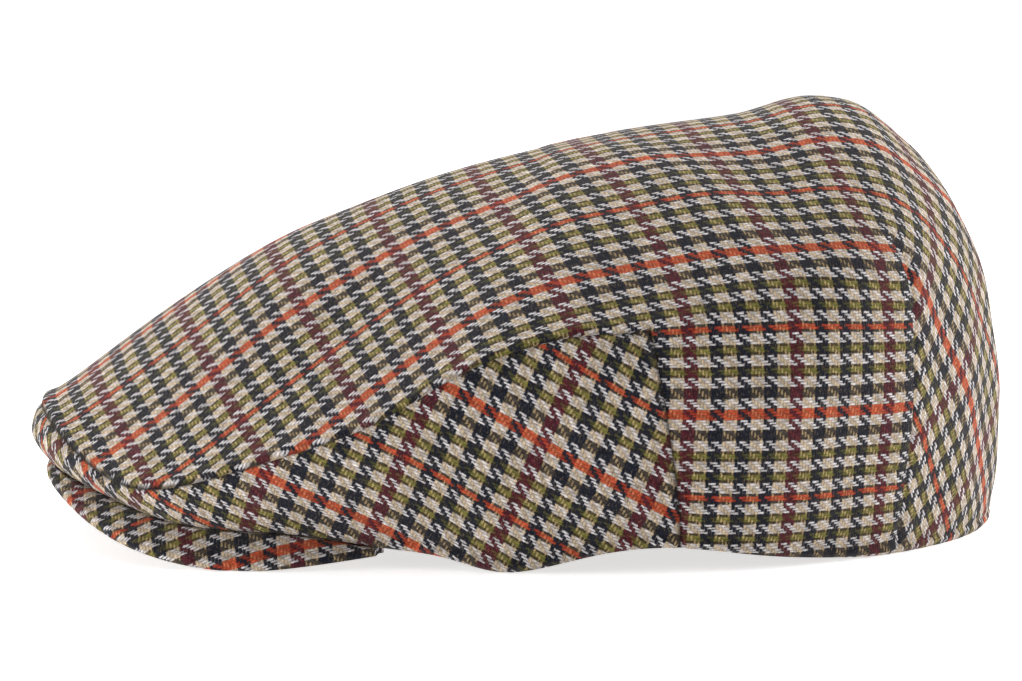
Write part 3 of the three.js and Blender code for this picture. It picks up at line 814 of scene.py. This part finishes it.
def wool(name, twill):
    """Houndstooth wool: the weave's colour, darkened by painted shade along the seams, rough, with a soft
    sheen, its yarns standing up a little.
    """
    material = bpy.data.materials.new(name)
    material.use_nodes = True
    w = Wiring(material.node_tree)
    nodes = material.node_tree.nodes
    shader = nodes["Principled BSDF"]
    place = w.node("ShaderNodeUVMap", uv_map="cloth")
    weave = w.node("ShaderNodeGroup", node_tree=twill)
    w.join(place.outputs[0], weave.inputs[0])
    # The attribute read here is painted shade along the seams and the crown's front edge: at 1 it darkens
    # the colour to a tenth, and it falls to 0 at the sides of the line.
    seam_and_painted_shade = w.node("ShaderNodeAttribute", attribute_name="seam_and_painted_shade")
    depth = w.clamp(seam_and_painted_shade.outputs["Fac"])
    shaded = w.node("ShaderNodeVectorMath", operation="SCALE")
    w.join(weave.outputs["Colour"], shaded.inputs[0])
    w.join(w.math("MULTIPLY_ADD", depth, -0.9, 1.0), shaded.inputs["Scale"])
    w.join(shaded.outputs[0], shader.inputs["Base Color"])
    bump = w.node("ShaderNodeBump")
    bump.inputs["Strength"].default_value = 0.6
    bump.inputs["Distance"].default_value = 0.0003
    w.join(weave.outputs["Height"], bump.inputs["Height"])
    w.join(bump.outputs[0], shader.inputs["Normal"])
    shader.inputs["Roughness"].default_value = 0.95
    shader.inputs["Specular IOR Level"].default_value = 0.1
    shader.inputs["Sheen Weight"].default_value = 0.1
    shader.inputs["Sheen Roughness"].default_value = 0.5
    shader.inputs["Sheen Tint"].default_value = (0.9, 0.8, 0.68, 1)
    return material


# ---------------------------------------------------------------------------------------------
# The pieces
# ---------------------------------------------------------------------------------------------

skin = Skin(STEPS, LEVELS)
twill = twill_group()
houndstooth = wool("houndstooth_wool", twill)
peak_wool = wool("peak_wool", twill)
wall_points = skin.points[skin.rows]
wall_k = skin.k[skin.rows]
up_wall = run_along(wall_points[::-1], 0)[::-1]  # millimetres up from the rim
down_wall = run_along(wall_points, 0)  # millimetres down from the edge
round_wall = run_along(wall_points, 1)
column_of = {s: int(round((s + LAST) * STEPS)) for s in (-DART, -TEMPLE_SEAM, 0, TEMPLE_SEAM, DART)}


def from_seam(section):
    """Distance along the wall to the nearer of the two seams at this section, left and right."""
    return np.minimum(np.abs(round_wall - round_wall[:, [column_of[section]]]),
                      np.abs(round_wall - round_wall[:, [column_of[-section]]]))


def hem_shape(height):
    """The rolled hem: full over its width, with a stitched line above it and a rounded lower edge."""
    roll = 0.35 * (1 - smoothstep(HEM_WIDTH * 0.75, HEM_WIDTH * 1.15, height))
    line = -0.35 * bell(height - HEM_WIDTH * 1.1, 0.55)
    return roll + line + seam_dip(height, 0.9, 0.7)


def pucker(k, distance):
    """Small waves along a sewn edge, about 9 mm long and uneven, that die away within 6 mm of it."""
    along = np.interp(k, wall_k[0], round_wall[0]) / 9
    wave = np.sin(2 * math.pi * along + 2.2 * np.sin(2.1 * along)) + 0.6 * np.sin(3.9 * along + 1.3)
    return 0.22 * wave * bell(distance - 2, 4)


def painted_seam_shade(section, strength, width):
    """How dark the painted shade along the seam at a section is: its strength less the distance from it
    over the width."""
    return strength - from_seam(section) / width


def soft_folds(along, up):
    """Broad shallow waves of worn cloth, 20 to 50 mm from crest to crest and under a millimetre deep."""
    return (0.3 * np.sin(along / 7.3 + 1.4 * np.sin(up / 13)) + 0.25 * np.sin(along / 4.1 - up / 9 + 1.7)
            + 0.2 * np.sin(up / 5.2 + 1.1 * np.sin(along / 11)))


def make_crown():
    """The crown: the top and the wall behind the temple seams. Rises and falls are added to the skin along
    its normals: the hem, the seams as bell-shaped grooves, puckers beside the darts, shallow folds, and the
    edge lapped over the side panels."""
    pattern, flat = lay_crown()
    rise = np.zeros(len(skin.points))
    wall = hem_shape(up_wall) + seam_dip(from_seam(TEMPLE_SEAM))
    closed_dart = 1 - smoothstep(0.9, 1.0, skin.height[skin.rows])
    beside = from_seam(DART)
    wall -= (0.4 * bell(beside, 1.6) + 0.1 * bell(beside, 0.6)) * closed_dart
    wall += 0.4 * np.sin(up_wall / 1.25 + 1.5 * np.sin(up_wall / 4)) * bell(beside - 3.5, 3.5) * closed_dart
    wall += soft_folds(round_wall, up_wall) * smoothstep(3, 14, np.minimum(up_wall, down_wall))
    middle_back = np.minimum(round_wall, round_wall[:, [-1]] - round_wall)
    wall -= 0.8 * bell(middle_back, 0.9) * closed_dart
    rise[skin.rows] = wall
    top = slice(0, skin.rows[1, 0])
    to_edge = np.linalg.norm(skin.points[top] - top_surface(skin.k[top], np.ones(skin.rows[1, 0])), axis=1)
    behind = smoothstep(TEMPLE_SEAM - 0.3, TEMPLE_SEAM, np.abs(skin.k[top]))
    lap = 0.6 * bell(to_edge - 1.6, 2.2) + seam_dip(to_edge, 1.0, 0.7) + pucker(skin.k[top], to_edge)
    rise[top] = lap * (1 - behind)
    outer = skin.points + skin.normals * rise[:, None]
    inner_rise = np.zeros(len(skin.points))
    inner_rise[skin.rows] = -seam_dip(up_wall, 0.7, 0.7)
    inner = skin.points + skin.normals * (inner_rise - CLOTH)[:, None]
    # Painted shade along the temple seam, the dart and the crown's edge in front of the temple seams,
    # strongest at the very front.
    seam_and_painted_shade = np.full(len(skin.points), -1.0)
    at_front = smoothstep(5, 2, np.abs(skin.k[top]))
    seam_and_painted_shade[skin.rows] = np.maximum(painted_seam_shade(TEMPLE_SEAM, 0.9, 0.9),
                                 painted_seam_shade(DART, 0.15, 1.6) - 2 * (1 - closed_dart))
    painted_edge_shade = np.where(behind > 0.5, -1.0, 0.35 + at_front - to_edge / (1.6 - 0.7 * at_front))
    seam_and_painted_shade[top] = np.maximum(seam_and_painted_shade[top], painted_edge_shade)
    cloth_body("crown_cloth", outer, inner, seam_and_painted_shade, pattern.origin[pattern.faces],
               crown_yarns(flat), pattern.faces, houndstooth, "crown")


def make_side_panel(name, side, node):
    """A side panel: columns from the centre front to the temple seam, its edges tucked into its
    neighbours."""
    front = column_of[0]
    columns = front + side * np.arange(TEMPLE_SEAM * STEPS + 1)
    grid = wall_points[:, columns]
    flat = lay_grid(grid, run_along(grid, 1).mean(0)[None] - 1j * run_along(grid, 0), rounds=30)
    corner = flat[0, -1]
    direction = flat[0, -1] - flat[0, -STEPS * 2]
    flat = (flat - corner) * 1j * abs(direction) / direction
    places = side_yarns(flat.ravel())
    places[:, 1] *= side
    rise = np.zeros_like(up_wall)
    behind_peak = smoothstep(PEAK_END - 0.4, PEAK_END + 0.4, np.abs(wall_k))
    rise += hem_shape(up_wall) * behind_peak + seam_dip(up_wall) * (1 - behind_peak)
    rise += seam_dip(down_wall, 0.9, 1.8)
    rise += soft_folds(round_wall, up_wall) * smoothstep(3, 14, np.minimum(up_wall, down_wall))
    beside = from_seam(TEMPLE_SEAM)
    rise += seam_dip(beside, 1.0, 0.8) + 0.25 * bell(beside - 1.9, 1.0) - 0.35 * bell(beside - 3.3, 0.6)
    normals = skin.normals[skin.rows]
    outer = wall_points + normals * rise[..., None]
    inner = wall_points - normals * (CLOTH + seam_dip(up_wall, 0.7, 0.7))[..., None]
    for surface in (outer, inner):
        along = unit(wall_points[1] - wall_points[0])
        surface[0] -= TUCK * along
        last, before = columns[-1], columns[-2]
        surface[:, last] -= TUCK * unit(wall_points[:, before] - wall_points[:, last])
        surface[:, front, 0] = -side * TUCK / 2
    faces = grid_faces(numbered(grid))
    if side < 0:
        faces = faces[:, ::-1]
    # Painted shade along the temple seam and the panel's upper edge, strongest near the front.
    at_front = smoothstep(5.5, 4, np.abs(wall_k))
    seam_and_painted_shade = np.maximum(painted_seam_shade(TEMPLE_SEAM, 0.9, 0.9),
                      0.4 + 0.5 * at_front - down_wall / (1.2 - 0.4 * at_front))[:, columns].ravel()
    cloth_body(name, outer[:, columns].reshape(-1, 3), inner[:, columns].reshape(-1, 3), seam_and_painted_shade, faces,
               places, faces, houndstooth, node)


SLOPE_ROWS, EDGE_ROWS, UPPER_ROWS = 14, 12, 16  # rows of the peak's slope, lip and hidden upper face


def faces_across(ring):
    """Faces across a ring of point numbers that ends on its first point. They face into the body, and
    the sliver beside that point is left open."""
    last = len(ring) - 1
    step = np.arange(1, last // 2)
    return np.stack([ring[step], ring[step + 1], ring[last - 1 - step], ring[last - step]], 1)


def make_peak():
    """The peak: at each section a closed outline from the brow out under the strip's foot, down to the
    lip, round its edge in a half circle and back along the underside."""
    front = column_of[0]
    offsets = np.arange(-PEAK_END * STEPS, PEAK_END * STEPS + 1)
    columns = front + offsets
    row = spline_at(PEAK_OWN, np.abs(skin.k[skin.rows[-1, columns]]))
    for column in MIRRORED:
        row[:, column] *= np.where(offsets < 0, -1.0, 1.0)
    lip, brow, board = row[:, 0:3], row[:, 3:6], row[:, 6:]
    lip[:, 2] = np.maximum(lip[:, 2], 0)
    up = np.array([0, 0, 1.0])
    rim = skin.rows[-1, columns]
    under_outer = skin.points[rim] - PEAK_CLEARANCE * up
    under_inner = under_outer - CLOTH * skin.normals[rim]
    out = unit((lip - brow) * [1, 1, 0])
    inset = out * LIP_ROUND * np.minimum(board / FULL_BOARD, 1)
    end = lip + up * board - inset
    share = np.linspace(0, 1, UPPER_ROWS, endpoint=False)[:, None, None]
    upper = brow + (under_inner - brow) * share
    share = np.linspace(0, 1, SLOPE_ROWS + 1)[:, None, None]
    slope = under_outer + (end - under_outer) * share + up * 4 * share * (1 - share) * PEAK_SWELL * board
    angle = np.linspace(0, math.pi, EDGE_ROWS + 1)[1:, None, None]
    middle = lip + up * board / 2 - inset
    edge = middle + up * board / 2 * np.cos(angle) + out * board / 2 * np.sin(angle)
    over = np.concatenate([upper, under_inner[None], slope, edge])
    under = np.concatenate([edge[-1:], np.concatenate([upper, under_inner[None]])[::-1] - up * board])
    loop = np.concatenate([over, under[1:]])
    count, width = loop.shape[:2]
    points = loop.reshape(-1, 3) + [0, SHIFT_Y, 0]
    closed = np.vstack([np.arange(count * width).reshape(count, width), np.arange(width)])
    faces = grid_faces(closed)
    flat_over = lay_peak(over)
    flat_under = under[..., 0] + 1j * under[..., 1]
    places = peak_yarns(np.concatenate([flat_over, flat_under, flat_over[-1:]]).ravel())
    place_rows = np.arange(len(places)).reshape(-1, width)
    turn = len(over)
    place_faces = np.concatenate([grid_faces(place_rows[:turn]), grid_faces(place_rows[turn:])])
    caps = np.vstack([faces_across(closed[:, 0]), faces_across(closed[::-1, -1])])
    cap_flat = points[caps][..., 1] + 1j * points[caps][..., 2]
    cap_places = peak_yarns(cap_flat.ravel()).reshape(*caps.shape, 2)
    mesh_piece("peak_cloth", points, np.zeros(len(points)), np.vstack([faces, caps]),
               np.vstack([places[place_faces], cap_places]), peak_wool, "peak")


def lay_peak(grid):
    """Flat places for the peak's upper cover, its middle line along the imaginary axis."""
    flat = lay_grid(grid, grid[..., 0] + 1j * grid[..., 1], rounds=20)
    middle = grid.shape[1] // 2
    direction = flat[0, middle] - flat[-1, middle]
    return (flat - flat[0, middle]) * 1j * abs(direction) / direction


make_crown()
make_side_panel("side_panel_left_cloth", 1, "side_panel_left")
make_side_panel("side_panel_right_cloth", -1, "side_panel_right")
make_peak()

# ---------------------------------------------------------------------------------------------
# Camera, light and floor
# ---------------------------------------------------------------------------------------------

def stand(name, data, place, towards):
    """A camera or lamp at a place, turned towards a point."""
    made = bpy.data.objects.new(name, data)
    bpy.context.scene.collection.objects.link(made)
    place, towards = np.array(place, float), np.array(towards, float)
    made.location = (place * MM).tolist()
    made.rotation_euler = Vector(((towards - place) * MM).tolist()).to_track_quat("-Z", "Y").to_euler()
    return made


def seen_from(azimuth, elevation, distance, aim):
    """The place at a distance from the aim: azimuth is turned from the front to the wearer's left."""
    a, e = math.radians(azimuth), math.radians(elevation)
    back = np.array([math.sin(a) * math.cos(e), -math.cos(a) * math.cos(e), math.sin(e)])
    return np.array(aim) + back * distance


AIM = (0.0, -1.0 + SHIFT_Y, 49.0)
camera_data = bpy.data.cameras.new("camera")
camera_data.lens = 115.4
camera_data.sensor_width = 36
camera = stand("camera", camera_data, seen_from(azimuth=85, elevation=7, distance=900, aim=AIM), AIM)
bpy.context.scene.camera = camera


def softbox(name, place, towards, size, power):
    """A square area lamp: its size in millimetres and its power in watts."""
    lamp = bpy.data.lights.new(name, "AREA")
    lamp.shape = "SQUARE"
    lamp.size = size * MM
    lamp.energy = power
    made = stand(name, lamp, place, towards)


softbox("overhead", (-200, 60, 900), (0, 0, 60), 700, 9)
softbox("behind", (-100, 900, 200), (0, 0, 60), 600, 9)
softbox("beyond", (-1500, 0, 700), (0, 0, 60), 1500, 9)
softbox("ahead", (150, -900, 40), (0, 0, 20), 400, 10)

world = bpy.data.worlds.new("pale_room")
world.use_nodes = True
background = world.node_tree.nodes["Background"]
background.inputs["Color"].default_value = (1, 1, 1, 1)
background.inputs["Strength"].default_value = 0.42
bpy.context.scene.world = world


def lit_sheet(name, corners, base, glow):
    """A flat white sheet, lit from behind, for the cap to stand on."""
    sheet = bpy.data.meshes.new(name)
    sheet.from_pydata([tuple(c * MM for c in corner) for corner in corners], [], [(0, 1, 2, 3)])
    material = bpy.data.materials.new(name)
    material.use_nodes = True
    shader = material.node_tree.nodes["Principled BSDF"]
    shader.inputs["Base Color"].default_value = (base, base, base, 1)
    shader.inputs["Roughness"].default_value = 0.6
    shader.inputs["Emission Color"].default_value = (1, 1, 1, 1)
    shader.inputs["Emission Strength"].default_value = glow
    sheet.materials.append(material)
    made = bpy.data.objects.new(name, sheet)
    bpy.context.scene.collection.objects.link(made)


FAR, FLOOR_Z = 12000, -0.2  # the floor's half width, and its height just under the cap
lit_sheet("floor", ((-FAR, -FAR, FLOOR_Z), (FAR, -FAR, FLOOR_Z), (FAR, FAR, FLOOR_Z), (-FAR, FAR, FLOOR_Z)),
          base=0.9, glow=0.66)

bpy.context.scene.view_settings.view_transform = "Standard"
